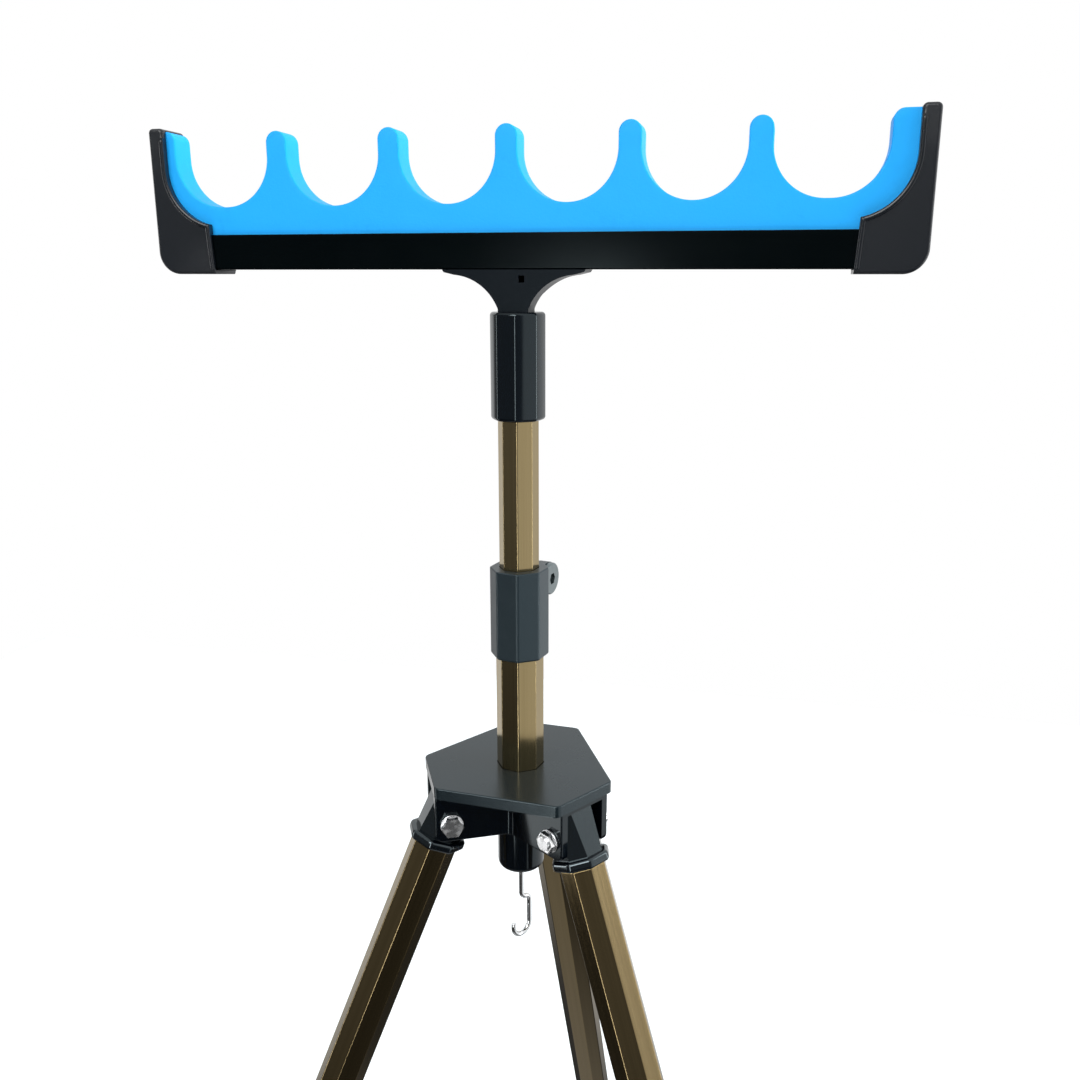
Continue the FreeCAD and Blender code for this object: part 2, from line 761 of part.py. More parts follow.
def make_bracket():
    """Bracket under the channel: flange, curved web, round neck and swivel stem."""
    piece = body("head_bracket", rail)
    front = [(-d.throat_half, -d.neck_show), (d.throat_half, -d.neck_show),
             (d.throat_half, -d.throat_drop, -d.throat_round), (d.flange_inner, -d.flange_inner_drop),
             (d.flange_lip, -d.flange_thick), (d.flange_half, ZERO), (-d.flange_half, ZERO),
             (-d.flange_lip, -d.flange_thick), (-d.flange_inner, -d.flange_inner_drop, -d.throat_round),
             (-d.throat_half, -d.throat_drop)]
    pad(piece, "XZ_Plane", [front], d.channel_width, midplane=True)
    trims = []
    for side in (1, -1):
        trims.append([(d.channel_width / 2 * side, -d.web_top_drop, d.web_round * -side),
                      (d.web_half * side, -d.web_low_drop), (d.web_half * side, -d.neck_show * 2),
                      (d.channel_width * side, -d.neck_show * 2),
                      (d.channel_width * side, -d.web_top_drop)])
    pocket(piece, "YZ_Plane", trims, d.flange_half * 3, midplane=True)
    low = -d.neck_show + d.face_gap
    shoulder = -d.neck_show - d.socket_web - d.face_gap
    neck = [(ZERO, -d.stem_drop), (d.stem_thread, -d.stem_drop), (d.stem_thread, shoulder),
            (d.stem_radius, shoulder), (d.stem_radius, low), (d.neck_radius, low),
            (d.neck_radius, -d.neck_rise_drop, d.neck_round), (ZERO, -d.neck_top_drop)]
    revolve(piece, neck)
    recess = box(d.recess_near, d.recess_far, -d.recess_low, -d.recess_top)
    pocket(piece, "XZ_Plane", [recess], d.channel_width, d.channel_width / 2 + d.recess_floor)
    holes = [(d.rail_screw_at * side, 0, d.rail_screw / 2 + d.face_gap) for side in (1, -1)]
    pocket(piece, "XY_Plane", holes, d.rail_screw_length + d.face_gap)

    frame = rail + " * " + place(0, 0, shoulder)
    washer = body("swivel_washer", frame)
    ring = [(0, 0, d.swivel_washer_radius), (0, 0, d.stem_thread + d.face_gap)]
    pad(washer, "XY_Plane", ring, d.swivel_washer_thick, -d.swivel_washer_thick)
    nut = body("swivel_nut", frame)
    outline = [polygon(d.swivel_flats, 6), (0, 0, d.stem_thread + d.face_gap)]
    pad(nut, "XY_Plane", outline, d.swivel_nut_thick, -d.swivel_washer_thick - d.swivel_nut_thick)


def make_rail():
    """Channel and the two countersunk screws that hold it to the bracket."""
    piece = body("rest_channel", rail)
    half = d.channel_width / 2
    wall, bend = d.channel_wall, d.channel_round
    section = [(-half + bend, ZERO), (half - bend, ZERO, bend), (half, bend), (half, d.channel_height),
               (half - wall, d.channel_height), (half - wall, wall), (wall - half, wall),
               (wall - half, d.channel_height), (-half, d.channel_height), (-half, bend, bend)]
    pad(piece, "YZ_Plane", [section], d.channel_half * 2, midplane=True)
    low, high = d.rail_screw / 2, d.rail_screw_head / 2
    hole = cone(piece, "Subtractive", low + d.face_gap, high + d.face_gap, wall, d.rail_screw_at)
    around(piece, [hole], 2)
    screws = body("rail_screws", rail)
    x = d.rail_screw_at
    shank = pad(screws, "XY_Plane", [(x, 0, low)], d.rail_screw_length, -d.rail_screw_length)
    head = cone(screws, "Additive", low, high, wall, x)
    around(screws, [shank, head], 2)


def curve_height(radius, out):
    """Height of the caps' inner curve at a distance from the middle."""
    aside = out - d.cap_curve_out
    return d.cap_curve_high - root(radius * radius - aside * aside)


def make_foam():
    """Foam rest with six notches, tucked into the channel and the end caps."""
    piece = body("foam_rest", rail)
    end = d.cap_inner + d.foam_tuck
    knee = d.cap_knee + d.foam_tuck
    curve = d.cap_curve + d.foam_tuck
    low = d.channel_wall + d.seat_gap
    loop = [(-knee, low), (knee, low), (knee, curve_height(curve, knee), curve),
            (end, d.cap_curve_high), (end, d.foam_top)]
    count = 6
    post = d.notch_pitch / 2 - d.notch_radius
    for number in range(count):
        centre = d.notch_shift + d.notch_pitch * ((count - 1) / 2 - number)
        right, left = centre + d.notch_radius, centre - d.notch_radius
        if number == 0:
            right = right + d.notch_end_flat
            loop.append((right + d.foam_corner, d.foam_top, d.foam_corner))
            loop.append((right, d.foam_top - d.foam_corner))
        else:
            loop.append((right + post, d.post_shoulder + post, post))
            loop.append((right, d.post_shoulder))
        loop.append((right, d.notch_centre, -d.notch_radius))
        if number == 0:
            loop.append((right - d.notch_radius, d.notch_centre - d.notch_radius))
        if number == count - 1:
            left = left - d.notch_end_flat
            loop.append((centre, d.notch_centre - d.notch_radius))
            loop.append((left + d.notch_radius, d.notch_centre - d.notch_radius, -d.notch_radius))
        else:
            loop.append((centre, d.notch_centre - d.notch_radius, -d.notch_radius))
        loop.append((left, d.notch_centre))
        if number == count - 1:
            loop.append((left, d.foam_top - d.foam_corner, d.foam_corner))
            loop.append((left - d.foam_corner, d.foam_top))
        else:
            loop.append((left, d.post_shoulder, post))
    loop.append((-end, d.foam_top))
    loop.append((-end, d.cap_curve_high, curve))
    loop.append((-knee, curve_height(curve, knee)))
    pad(piece, "XZ_Plane", [loop], d.foam_thick, midplane=True)


def cap_edge(side, inset, top):
    """Inner edge of an end cap, set back into the cap, from the top down."""
    knee, curve = d.cap_knee + inset, d.cap_curve + inset
    upright = d.cap_inner + inset
    return [(upright * side, top), (upright * side, d.cap_curve_high, curve * -side),
            (knee * side, curve_height(curve, knee))]


def make_cap(name, side):
    """End cap with a raised border, a pocket for the channel and a groove for the foam."""
    piece = body(name, rail)
    top, low, bend = d.cap_top, -d.cap_bottom, d.cap_top_round
    loop = [(d.cap_foot * side, low), ((d.cap_reach - d.cap_outer_round) * side, low, d.cap_outer_round * side),
            (d.cap_reach * side, low + d.cap_outer_round), (d.cap_reach * side, top - bend, bend * side),
            ((d.cap_reach - bend) * side, top), ((d.cap_inner + bend) * side, top, bend * side)]
    loop += cap_edge(side, ZERO, top - bend)
    pad(piece, "XZ_Plane", [loop], d.cap_depth, midplane=True)

    def outer_rim(edge, middle):
        """Front and back edges along the outside of the cap."""
        flat = near(abs(middle.y), d.cap_depth.amount / 2) and near(edge.BoundBox.YLength, 0)
        outside = abs(middle.x) > d.cap_reach.amount - d.cap_top_round.amount * 2
        return flat and (outside or middle.z < d.channel_wall.amount or middle.z > d.foam_top.amount)

    dress(piece, "Fillet", d.cap_edge, outer_rim)
    band = cap_edge(side, ZERO, top - bend * 2)
    band.append((d.cap_foot * side, low + d.cap_edge))
    band.append(((d.cap_foot + d.cap_band) * side, low + d.cap_edge))
    back = cap_edge(side, d.cap_band, top - bend * 2)
    band.append((back[2][0], back[2][1], d.cap_curve * side + d.cap_band * side))
    band.append(back[1][:2])
    band.append(back[0])
    pad(piece, "XZ_Plane", [band], d.cap_band_depth, midplane=True)
    inset = d.foam_tuck + d.seat_gap
    room = cap_edge(side, inset, d.foam_top + d.seat_gap)
    room.append((room[2][0], d.channel_height))
    room.append((ZERO, d.channel_height))
    room.append((ZERO, d.foam_top + d.seat_gap))
    pocket(piece, "XZ_Plane", [room], d.foam_thick + d.seat_gap * 2, midplane=True)
    half = d.channel_width / 2 + d.seat_gap
    rail_room = box(-half, half, -d.seat_gap, d.channel_height + d.seat_gap)
    pocket(piece, "YZ_Plane", [rail_room], (d.channel_half + d.seat_gap) * 2, midplane=True)


def make_head(prefix, frame):
    """Leg head: rounded collar, knuckle between the ears with its stop flat, and spigot."""
    piece = body(prefix + "head", frame)
    reach = d.hinge_drop - d.web_drop - d.seat_gap
    lean, drop = sine(d.splay), cosine(d.splay)
    collar_loop = octagon(d.head_collar_flats, d.head_collar_corner)
    pad(piece, "XY_Plane", [collar_loop], d.head_collar_end - d.head_shoulder, -d.head_collar_end)
    dress(piece, "Fillet", d.head_collar_edge, level(-d.head_shoulder))
    dress(piece, "Fillet", d.head_collar_edge, level(-d.head_collar_end))
    out, half, bevel = d.head_skirt, d.head_half, d.head_bevel
    plan = [(-out + bevel, -half), (out - bevel, -half), (out, -half + bevel), (out, half - bevel),
            (out - bevel, half), (-out + bevel, half), (-out, half - bevel), (-out, -half + bevel)]
    low = -d.head_shoulder - d.head_collar_edge
    pad(piece, "XY_Plane", [plan], reach - low, low)
    toe = (reach * lean + d.stop_length * drop, reach * drop - d.stop_length * lean)
    outside = [(-out, -d.head_shoulder), (-d.head_inside, d.head_inside_high),
               (-d.head_back_out, d.head_back_high, -d.head_back_round), (reach * lean, reach * drop), toe,
               (d.head_outside, toe[1] - d.head_toe), (out, -d.head_shoulder),
               (out * 2, -d.head_shoulder), (out * 2, reach * 2), (-out * 2, reach * 2),
               (-out * 2, -d.head_shoulder)]
    pocket(piece, "XZ_Plane", [outside], half * 3, midplane=True)
    spigot = octagon(d.outer_flats - (d.outer_wall + d.face_gap) * 2, d.outer_corner)
    pad(piece, "XY_Plane", [spigot], d.head_spigot - d.head_collar_end, -d.head_spigot)
    pocket(piece, "XY_Plane", [(0, 0, d.head_core)], d.head_spigot - d.head_collar_end, -d.head_spigot,
           up=True)
    pocket(piece, "XZ_Plane", [(0, 0, d.hinge_bolt / 2 + d.run_gap)], half * 3, midplane=True)


def make_foot(prefix, frame):
    """Rubber foot with a sole cut level for the splayed leg."""
    piece = body(prefix + "foot", frame)
    end = d.foot_pad - leg_length
    top = end + d.foot_cover
    deep = end - d.foot_pad * 2
    flare = end - d.foot_flare
    loop = [(ZERO, deep), (d.foot_radius, deep), (d.foot_radius, flare - d.foot_flare),
            (d.foot_waist, end), (d.foot_waist, top - d.foot_waist_high),
            (d.foot_top + d.foot_lip, top - d.foot_lip * 2), (d.foot_top + d.foot_lip, top), (ZERO, top)]
    revolve(piece, loop)
    wide = d.foot_radius * 2
    rise = wide * tangent(d.splay)
    sole = [(-wide, rise - leg_length), (-wide, -leg_length * 2), (wide, -leg_length * 2),
            (wide, -rise - leg_length)]
    pocket(piece, "XZ_Plane", [sole], wide * 2, midplane=True)

    def sole_rim(edge, middle):
        """Rim of the level sole."""
        return edge.BoundBox.ZMin < (-leg_length + rise / 2).amount and near(
            edge.BoundBox.ZLength, (wide * tangent(d.splay)).amount)

    dress(piece, "Fillet", d.foot_edge, sole_rim)
    bore = octagon(d.inner_flats + d.seat_gap * 2, d.inner_corner)
    pocket(piece, "XY_Plane", [bore], d.foot_cover * 2, end, up=True)


def make_leg(name, turn):
    """One leg from the hinge to the sole."""
    prefix = "leg_%s_" % name
    frame = leg_frame(turn)
    make_head(prefix, frame)
    high = -d.head_collar_end
    tube(prefix + "upper_tube", frame, d.outer_flats, d.outer_wall, d.outer_corner,
         -d.leg_collar_at - d.collar_step, high)
    make_clamp(prefix, leg_collar_frame(turn))
    tube(prefix + "lower_tube", frame, d.inner_flats, d.inner_wall, d.inner_corner,
         d.foot_pad - leg_length, -d.leg_lower_start)
    plug(prefix + "guide_plug", frame, -d.leg_lower_start, False)
    make_foot(prefix, frame)


make_cover()
make_spider()
make_cover_screws()
make_hinge_sets()
make_hook()
make_mast()
make_clamp("mast_", mast_collar)
make_socket()
make_bracket()
make_rail()
make_foam()
make_cap("end_cap_left", -1)
make_cap("end_cap_right", 1)
for leg_name, leg_angle in LEGS:
    make_leg(leg_name, leg_angle)

doc.recompute()
for item in doc.Objects:
    if "Invalid" in item.State or "Error" in item.State:
        raise RuntimeError("%s did not compute" % item.Label)
for piece in PIECES:
    if piece.Shape.isNull() or not piece.Shape.isValid() or not piece.Shape.Solids:
        raise RuntimeError("%s has no sound solid" % piece.Label)
os.makedirs("parts", exist_ok=True)
for piece in PIECES:
    piece.Shape.exportStep("parts/%s.step" % piece.Label)
    print(piece.Label, len(piece.Shape.Solids), round(piece.Shape.Volume))
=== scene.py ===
"""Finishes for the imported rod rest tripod, its soft foam rest, the caps' beads and the studio."""
from __future__ import annotations

import json
import logging
import math
from dataclasses import dataclass, field, replace
from enum import Enum

import bpy
import numpy as np
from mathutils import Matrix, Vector

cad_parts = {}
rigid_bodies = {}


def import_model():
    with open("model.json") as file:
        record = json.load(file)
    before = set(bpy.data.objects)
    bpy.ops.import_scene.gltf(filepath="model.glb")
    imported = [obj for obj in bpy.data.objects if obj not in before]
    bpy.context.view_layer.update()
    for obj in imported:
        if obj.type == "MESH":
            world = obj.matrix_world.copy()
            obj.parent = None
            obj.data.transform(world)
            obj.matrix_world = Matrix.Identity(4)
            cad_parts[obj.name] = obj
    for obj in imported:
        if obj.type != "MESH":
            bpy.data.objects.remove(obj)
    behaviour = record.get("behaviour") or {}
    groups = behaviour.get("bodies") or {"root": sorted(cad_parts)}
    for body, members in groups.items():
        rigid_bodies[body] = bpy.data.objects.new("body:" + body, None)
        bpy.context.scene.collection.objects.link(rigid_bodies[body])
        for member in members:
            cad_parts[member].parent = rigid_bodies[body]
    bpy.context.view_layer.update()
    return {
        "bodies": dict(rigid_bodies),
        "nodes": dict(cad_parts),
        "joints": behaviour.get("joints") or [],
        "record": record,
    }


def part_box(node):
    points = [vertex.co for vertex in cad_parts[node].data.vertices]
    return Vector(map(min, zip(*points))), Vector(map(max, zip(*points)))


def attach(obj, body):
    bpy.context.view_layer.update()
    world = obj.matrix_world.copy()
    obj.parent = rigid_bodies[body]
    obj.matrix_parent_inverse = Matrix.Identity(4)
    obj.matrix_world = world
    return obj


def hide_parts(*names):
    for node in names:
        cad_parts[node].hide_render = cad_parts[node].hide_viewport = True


LOG = logging.getLogger("rod_rest_tripod")
MILLIMETRE = 0.001
SPLAY = math.radians(22.0)
SAME_POINT = 1e-6

Colour = tuple[float, float, float]
Place = tuple[float, float, float]
Span = tuple[float, float]
Grid = tuple[np.ndarray, int, int]


class Leg(Enum):
    """The three legs, by the direction of each from the mast in degrees."""

    LEFT = 206.5
    RIGHT = -33.5
    REAR = 86.5

    @property
    def prefix(self) -> str:
        """Start of the leg's node names."""
        return "leg_%s_" % self.name.lower()


class Grain(Enum):
    """Kinds of fine relief, by the share of cells in each; the rest is noise."""

    NONE = 0.0
    POWDER = 0.1
    MOULDED = 0.35
    CELLS = 0.8


def rgba(colour: Colour) -> tuple[float, float, float, float]:
    """The colour with full opacity."""
    return (*colour, 1.0)


def each_leg(*names: str) -> list[str]:
    """Node names of the given pieces on all three legs."""
    return [leg.prefix + name for leg in Leg for name in names]


@dataclass
class Wiring:
    """Adds and links nodes in one node tree."""

    tree: bpy.types.NodeTree

    def node(self, kind: str, **values: object) -> bpy.types.Node:
        """Add a node and set its properties and inputs.

        Args:
            kind: the node's type name.
            values: properties by name, and inputs by name with spaces as underscores.

        Returns:
            The new node.
        """
        made = self.tree.nodes.new(kind)
        for name, value in values.items():
            if hasattr(made, name):
                setattr(made, name, value)
            else:
                made.inputs[name.replace("_", " ")].default_value = value
        return made

    def link(self, start: bpy.types.NodeSocket, end: bpy.types.NodeSocket) -> None:
        """Link two sockets."""
        self.tree.links.new(start, end)

    def combine(self, operation: str,
                *values: bpy.types.NodeSocket | float) -> bpy.types.NodeSocket:
        """Add a math node.

        Args:
            operation: what the node does.
            values: for each input in turn, the socket to link or the number to set.

        Returns:
            The socket of the result.
        """
        made = self.node("ShaderNodeMath", operation=operation)
        for socket, value in zip(made.inputs, values):
            if isinstance(value, bpy.types.NodeSocket):
                self.link(value, socket)
            else:
                socket.default_value = value
        return made.outputs[0]

    def blend(self, kind: str, factor: bpy.types.NodeSocket | float, first: bpy.types.NodeSocket,
              second: bpy.types.NodeSocket) -> bpy.types.NodeSocket:
        """Add a mix node.

        Args:
            kind: what it mixes, FLOAT or RGBA.
            factor: the share of the second, as a socket or a number.
            first: the socket that counts at 0.
            second: the socket that counts at 1.

        Returns:
            The socket of the result.
        """
        made = self.node("ShaderNodeMix", data_type=kind)
        if isinstance(factor, bpy.types.NodeSocket):
            self.link(factor, made.inputs["Factor"])
        else:
            made.inputs["Factor"].default_value = factor
        self.link(first, made.inputs["A"])
        self.link(second, made.inputs["B"])
        return made.outputs["Result"]

    def ramp(self, value: bpy.types.NodeSocket, span: Span, levels: Span = (0.0, 1.0),
             step: str = "LINEAR") -> bpy.types.NodeSocket:
        """Add a map range node, which goes from one level to another.

        Args:
            value: the socket that runs along the span.
            span: where the change starts and ends.
            levels: the levels before and after it.
            step: how it goes from one to the other.

        Returns:
            The socket of the result.
        """
        made = self.node("ShaderNodeMapRange", From_Min=span[0], From_Max=span[1],
                         To_Min=levels[0], To_Max=levels[1], interpolation_type=step)
        self.link(value, made.inputs["Value"])
        return made.outputs["Result"]


def new_group(name: str, inputs: dict[str, tuple[str, object]], outputs: dict[str, str]) -> Wiring:
    """Make an empty shader node group with named sockets.

    Args:
        name: the group's name.
        inputs: socket kind and default value by input name.
        outputs: socket kind by output name.

    Returns:
        The wiring of the group's tree.
    """
    tree = bpy.data.node_groups.new(name, "ShaderNodeTree")
    for label, (kind, value) in inputs.items():
        socket = tree.interface.new_socket(label, in_out="INPUT", socket_type=kind)
        socket.default_value = value
    for label, kind in outputs.items():
        tree.interface.new_socket(label, in_out="OUTPUT", socket_type=kind)
    wiring = Wiring(tree)
    wiring.node("NodeGroupInput", name="in")
    wiring.node("NodeGroupOutput", name="out")
    return wiring


@dataclass
class Effects:
    """Node groups shared by the finishes, each built once.

    Each span gives the noise at which a smear, a speck or a light die line starts, and the
    noise at which it is full.
    """

    smears: Span = (0.45, 0.75)
    specks: Span = (0.5, 0.8)
    finer: float = 9.0
    cell_softness: float = 0.4
    lines: Span = (0.35, 0.65)
    line_scale: float = 1400.0
    band_scale: float = 260.0
    line_share: float = 0.5
    stretch: float = 0.006
    handling: bpy.types.NodeTree = field(init=False)
    relief: bpy.types.NodeTree = field(init=False)
    drawn: bpy.types.NodeTree = field(init=False)

    def __post_init__(self) -> None:
        """Build every group once."""
        self.handling = self.make_handling()
        self.relief = self.make_relief()
        self.drawn = self.make_drawn()

    def make_handling(self) -> bpy.types.NodeTree:
        """Faint smears and dust: soft noise shifts roughness and lightens the colour.

        Returns:
            The group, with Colour and Roughness outputs.
        """
        group = new_group(
            "Handling",
            {
                "Vector": ("NodeSocketVector", (0.0, 0.0, 0.0)),
                "Colour": ("NodeSocketColor", (0.5, 0.5, 0.5, 1.0)),
                "Dust": ("NodeSocketColor", (0.5, 0.5, 0.5, 1.0)),
                "Amount": ("NodeSocketFloat", 0.1),
                "Roughness": ("NodeSocketFloat", 0.3),
                "Spread": ("NodeSocketFloat", 0.08),
                "Scale": ("NodeSocketFloat", 30.0),
            },
            {"Colour": "NodeSocketColor", "Roughness": "NodeSocketFloat"},
        )
        source, target = group.tree.nodes["in"].outputs, group.tree.nodes["out"].inputs
        broad = group.node("ShaderNodeTexNoise", Detail=4.0, Roughness=0.55)
        fine = group.node("ShaderNodeTexNoise", Detail=2.0, Roughness=0.6)
        for texture in (broad, fine):
            group.link(source["Vector"], texture.inputs["Vector"])
        group.link(source["Scale"], broad.inputs["Scale"])
        group.link(group.combine("MULTIPLY", source["Scale"], self.finer), fine.inputs["Scale"])
        smear = group.ramp(broad.outputs["Fac"], self.smears)
        speck = group.ramp(fine.outputs["Fac"], self.specks)
        dust = group.combine("MULTIPLY", group.combine("MULTIPLY", smear, speck), source["Amount"])
        group.link(group.blend("RGBA", dust, source["Colour"], source["Dust"]), target["Colour"])
        rough = group.combine("MULTIPLY_ADD", smear, source["Spread"], source["Roughness"])
        group.link(rough, target["Roughness"])
        return group.tree

    def make_relief(self) -> bpy.types.NodeTree:
        """Fine relief: a fine cell pattern and noise mixed as one height.

        Returns:
            The group, with a Height output.
        """
        group = new_group(
            "Relief",
            {
                "Vector": ("NodeSocketVector", (0.0, 0.0, 0.0)),
                "Scale": ("NodeSocketFloat", 900.0),
                "Cells": ("NodeSocketFloat", 0.5),
            },
            {"Height": "NodeSocketFloat"},
        )
        source, target = group.tree.nodes["in"].outputs, group.tree.nodes["out"].inputs
        noise = group.node("ShaderNodeTexNoise", Detail=3.0, Roughness=0.6)
        cells = group.node("ShaderNodeTexVoronoi", feature="SMOOTH_F1",
                           Smoothness=self.cell_softness)
        for texture in (noise, cells):
            group.link(source["Vector"], texture.inputs["Vector"])
            group.link(source["Scale"], texture.inputs["Scale"])
        height = group.blend("FLOAT", source["Cells"], noise.outputs["Fac"],
                             cells.outputs["Distance"])
        group.link(height, target["Height"])
        return group.tree

    def make_drawn(self) -> bpy.types.NodeTree:
        """Die lines of a drawn tube: noise stretched along Z tints the colour and the gloss.

        Returns:
            The group, with Colour and Roughness outputs.
        """
        group = new_group(
            "Drawn",
            {
                "Vector": ("NodeSocketVector", (0.0, 0.0, 0.0)),
                "Light": ("NodeSocketColor", (0.5, 0.5, 0.5, 1.0)),
                "Dark": ("NodeSocketColor", (0.2, 0.2, 0.2, 1.0)),
                "Roughness": ("NodeSocketFloat", 0.25),
                "Spread": ("NodeSocketFloat", 0.1),
            },
            {"Colour": "NodeSocketColor", "Roughness": "NodeSocketFloat"},
        )
        source, target = group.tree.nodes["in"].outputs, group.tree.nodes["out"].inputs
        stretched = group.node("ShaderNodeVectorMath", operation="MULTIPLY")
        stretched.inputs[1].default_value = (1.0, 1.0, self.stretch)
        lines = group.node("ShaderNodeTexNoise", Scale=self.line_scale, Detail=3.0, Roughness=0.7)
        bands = group.node("ShaderNodeTexNoise", Scale=self.band_scale, Detail=1.0, Roughness=0.5)
        group.link(source["Vector"], stretched.inputs[0])
        for texture in (lines, bands):
            group.link(stretched.outputs[0], texture.inputs["Vector"])
        noise = group.blend("FLOAT", self.line_share, lines.outputs["Fac"], bands.outputs["Fac"])
        light = group.ramp(noise, self.lines)
        group.link(group.blend("RGBA", light, source["Dark"], source["Light"]), target["Colour"])
        rough = group.combine("MULTIPLY_ADD", light, source["Spread"], source["Roughness"])
        group.link(rough, target["Roughness"])
        return group.tree


@dataclass(frozen=True)
class Finish:
    """One finish: colour, gloss, dust, fine relief, the rounding of its edges in millimetres and a
    tint for its reflections, which paints a colour into them where it is not white.
    """

    name: str
    colour: Colour
    roughness: float
    metallic: float = 0.0
    coat: float = 0.0
    dust: Colour = (0.5, 0.5, 0.5)
    dust_amount: float = 0.05
    spread: float = 0.06
    smear_scale: float = 25.0
    grain: Grain = Grain.NONE
    grain_scale: float = 900.0
    grain_height: float = 0.00003
    specular: float = 0.5
    edge: float = 0.4
    tint: Colour = (1.0, 1.0, 1.0)

    def shader(self) -> tuple[bpy.types.Material, Wiring, bpy.types.Node, bpy.types.Node]:
        """Start the material.

        Returns:
            The material, its wiring, its shader node and its coordinates node.
        """
        material = bpy.data.materials.new(self.name)
        material.use_nodes = True
        wiring = Wiring(material.node_tree)
        principled = material.node_tree.nodes["Principled BSDF"]
        principled.inputs["Metallic"].default_value = self.metallic
        principled.inputs["Coat Weight"].default_value = self.coat
        principled.inputs["Specular IOR Level"].default_value = self.specular
        # A tint other than white paints a colour into the reflections; the cool tint paints the
        # room's sky colour into them.
        principled.inputs["Specular Tint"].default_value = rgba(self.tint)
        coordinates = wiring.node("ShaderNodeTexCoord")
        return material, wiring, principled, coordinates

    def add_relief(self, effects: Effects, wiring: Wiring, principled: bpy.types.Node,
                   vector: bpy.types.NodeSocket) -> None:
        """Feed the fine relief to the shader's normal.

        Args:
            effects: the shared groups.
            wiring: the material's wiring.
            principled: the material's shader node.
            vector: the coordinates.
        """
        if self.grain is Grain.NONE:
            return
        relief = wiring.node("ShaderNodeGroup", node_tree=effects.relief, Scale=self.grain_scale,
                             Cells=self.grain.value)
        bump = wiring.node("ShaderNodeBump", Strength=1.0, Distance=self.grain_height)
        wiring.link(vector, relief.inputs["Vector"])
        wiring.link(relief.outputs["Height"], bump.inputs["Height"])
        wiring.link(bump.outputs["Normal"], principled.inputs["Normal"])

    def build(self, effects: Effects) -> bpy.types.Material:
        """Build the finish's material.

        Args:
            effects: the shared groups.

        Returns:
            The material.
        """
        material, wiring, principled, coordinates = self.shader()
        vector = coordinates.outputs["Object"]
        handling = wiring.node(
            "ShaderNodeGroup", node_tree=effects.handling, Colour=rgba(self.colour),
            Dust=rgba(self.dust), Amount=self.dust_amount, Roughness=self.roughness,
            Spread=self.spread, Scale=self.smear_scale)
        wiring.link(vector, handling.inputs["Vector"])
        wiring.link(handling.outputs["Colour"], principled.inputs["Base Color"])
        wiring.link(handling.outputs["Roughness"], principled.inputs["Roughness"])
        self.add_relief(effects, wiring, principled, vector)
        return material


@dataclass(frozen=True)
class DrawnTube(Finish):
    """Bronze anodised tube with die lines along its own axis."""

    light: Colour = (0.34, 0.265, 0.138)
    heading: float = 0.0
    lean: float = 0.0

    def build(self, effects: Effects) -> bpy.types.Material:
        """Build the tube's material.

        The coordinates turn by the heading and then the lean, so that Z runs along the tube.

        Args:
            effects: the shared groups.

        Returns:
            The material.
        """
        material, wiring, principled, coordinates = self.shader()
        facing = wiring.node("ShaderNodeMapping", Rotation=(0.0, 0.0, -self.heading))
        upright = wiring.node("ShaderNodeMapping", Rotation=(0.0, self.lean, 0.0))
        wiring.link(coordinates.outputs["Object"], facing.inputs["Vector"])
        wiring.link(facing.outputs["Vector"], upright.inputs["Vector"])
        drawn = wiring.node(
            "ShaderNodeGroup", node_tree=effects.drawn, Light=rgba(self.light),
            Dark=rgba(self.colour), Roughness=self.roughness, Spread=self.spread)
        wiring.link(upright.outputs["Vector"], drawn.inputs["Vector"])
        wiring.link(drawn.outputs["Colour"], principled.inputs["Base Color"])
        wiring.link(drawn.outputs["Roughness"], principled.inputs["Roughness"])
        return material


# Cool tint for the reflections of the black finishes: a painted reflection colour, standing in for
# the sky-coloured room light that their gloss would otherwise show as white.
PAINTED_COOL_REFLECTION = (0.78, 0.95, 1.0)
PLATE = Finish("plate_powder_coat", (0.006, 0.0105, 0.0135), 0.22, dust_amount=0.008, spread=0.1,
               grain=Grain.POWDER, grain_scale=1500.0, grain_height=0.000008, edge=0.5, tint=PAINTED_COOL_REFLECTION)
CASTING = Finish("hub_gloss_black", (0.0005, 0.0012, 0.0028), 0.09, dust_amount=0.001, spread=0.05,
                 edge=0.6, tint=PAINTED_COOL_REFLECTION)
LEG_HEAD = replace(CASTING, name="leg_head_gloss_black", specular=0.95)
ZINC = Finish("bright_zinc", (0.9, 0.91, 0.92), 0.2, metallic=1.0, dust=(0.1, 0.1, 0.105),
              dust_amount=0.9, spread=0.25, smear_scale=260.0, edge=0.35)
DULL_STEEL = Finish("clamp_bolt_dull_steel", (0.2, 0.235, 0.245), 0.3, metallic=1.0,
                    dust=(0.04, 0.05, 0.05), dust_amount=0.5, spread=0.2, smear_scale=260.0,
                    edge=0.25)
WIRE = Finish("hook_bright_wire", (0.8, 0.82, 0.84), 0.08, metallic=1.0, dust_amount=0.05, edge=0.1)
CLAMP = Finish("clamp_blue_black", (0.012, 0.019, 0.024), 0.34, dust_amount=0.015,
               grain=Grain.MOULDED, grain_scale=1300.0, grain_height=0.00003, edge=0.6, tint=PAINTED_COOL_REFLECTION)
SOCKET = Finish("socket_gloss_black", (0.001, 0.002, 0.004), 0.1, dust_amount=0.002, edge=1.0,
                tint=PAINTED_COOL_REFLECTION)
BRACKET = Finish("bracket_satin_black", (0.0015, 0.0025, 0.005), 0.34, dust_amount=0.003,
                 grain=Grain.MOULDED, grain_scale=1300.0, grain_height=0.00001, specular=0.14,
                 edge=1.4, tint=PAINTED_COOL_REFLECTION)
CHANNEL = Finish("channel_gloss_black", (0.0002, 0.0012, 0.0016), 0.18, dust_amount=0.001,
                 smear_scale=18.0, specular=0.1, edge=0.3, tint=PAINTED_COOL_REFLECTION)
